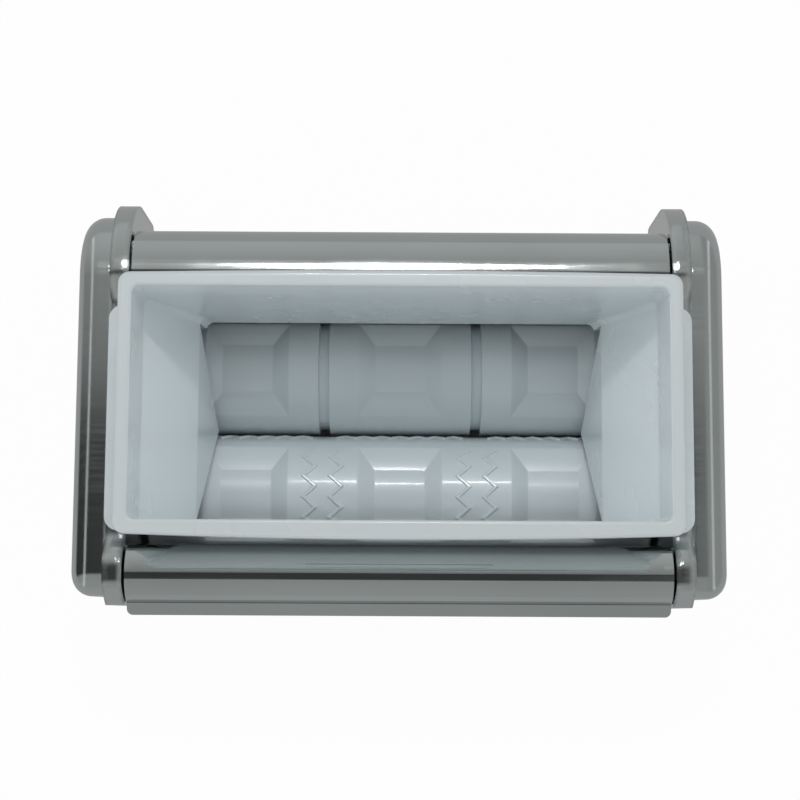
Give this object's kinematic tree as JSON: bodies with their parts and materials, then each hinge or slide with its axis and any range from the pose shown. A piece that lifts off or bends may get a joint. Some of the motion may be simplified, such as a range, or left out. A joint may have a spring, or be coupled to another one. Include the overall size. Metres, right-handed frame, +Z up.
{
  "type": "ravioli maker attachment",
  "caption": "Roller ravioli attachment for a pasta machine: two geared mould rollers between plated side plates under a lift-off filling hopper.",
  "frame": {"origin": "centre of the underside of the whole unit, on the surface it stands on", "axes": "+X along the rollers toward the crank socket, +Y toward the docking rails at the rear, +Z up"},
  "size_m": [0.1808, 0.117, 0.1188],
  "materials": {
    "chrome_sheet": "mirror plated steel sheet with fine brushing",
    "chrome_plate": "plated casting, polished edges",
    "chrome_end": "mirror plated drawn shell",
    "white_hopper": "gloss injection moulding",
    "white_roller": "satin gloss injection moulding",
    "white_stripper": "satin moulding",
    "bushing_nylon": "natural nylon",
    "steel_shaft": "turned and ground",
    "steel_gear": "hobbed, lightly oiled",
    "spring_steel": "phosphated spring steel",
    "screw_steel": "zinc plated"
  },
  "bodies": {
    "frame": {"front_cover": "chrome_sheet", "rear_cover": "chrome_sheet", "left_side_plate": "chrome_plate", "right_side_plate": "chrome_plate", "left_end_cover": "chrome_end", "right_end_cover": "chrome_end", "rear_stripper": "white_stripper", "left_front_bushing": "bushing_nylon", "left_rear_bushing": "bushing_nylon", "right_front_bushing": "bushing_nylon", "right_rear_bushing": "bushing_nylon", "front_top_rod": "steel_shaft", "rear_top_rod": "steel_shaft", "front_bottom_rod": "steel_shaft", "rear_bottom_rod": "steel_shaft", "left_frame_screws": "screw_steel", "right_frame_screws": "screw_steel", "left_cover_screws": "screw_steel", "right_cover_screws": "screw_steel"},
    "front_roller": {"front_roller": "white_roller", "front_shaft": "steel_shaft", "front_key": "steel_shaft", "front_clips": "spring_steel", "front_gear": "steel_gear"},
    "rear_roller": {"rear_roller": "white_roller", "rear_shaft": "steel_shaft", "rear_key": "steel_shaft", "rear_clips": "spring_steel", "rear_gear": "steel_gear"},
    "hopper": {"hopper": "white_hopper"}
  },
  "joints": [
    {"name": "front_roller_spin", "type": "hinge", "parent": "frame", "child": "front_roller", "pos_m": [0, -0.0225, 0.034], "axis": [1, 0, 0], "continuous": true},
    {"name": "rear_roller_spin", "type": "hinge", "parent": "frame", "child": "rear_roller", "pos_m": [0, 0.0135, 0.034], "axis": [1, 0, 0], "continuous": true},
    {"name": "hopper_lift", "type": "slide", "parent": "frame", "child": "hopper", "axis": [0, 0, 1], "range_m": [0, 0.06]}
  ],
  "couplings": [
    {"joint": "rear_roller_spin", "follows": "front_roller_spin", "ratio": -1}
  ]
}
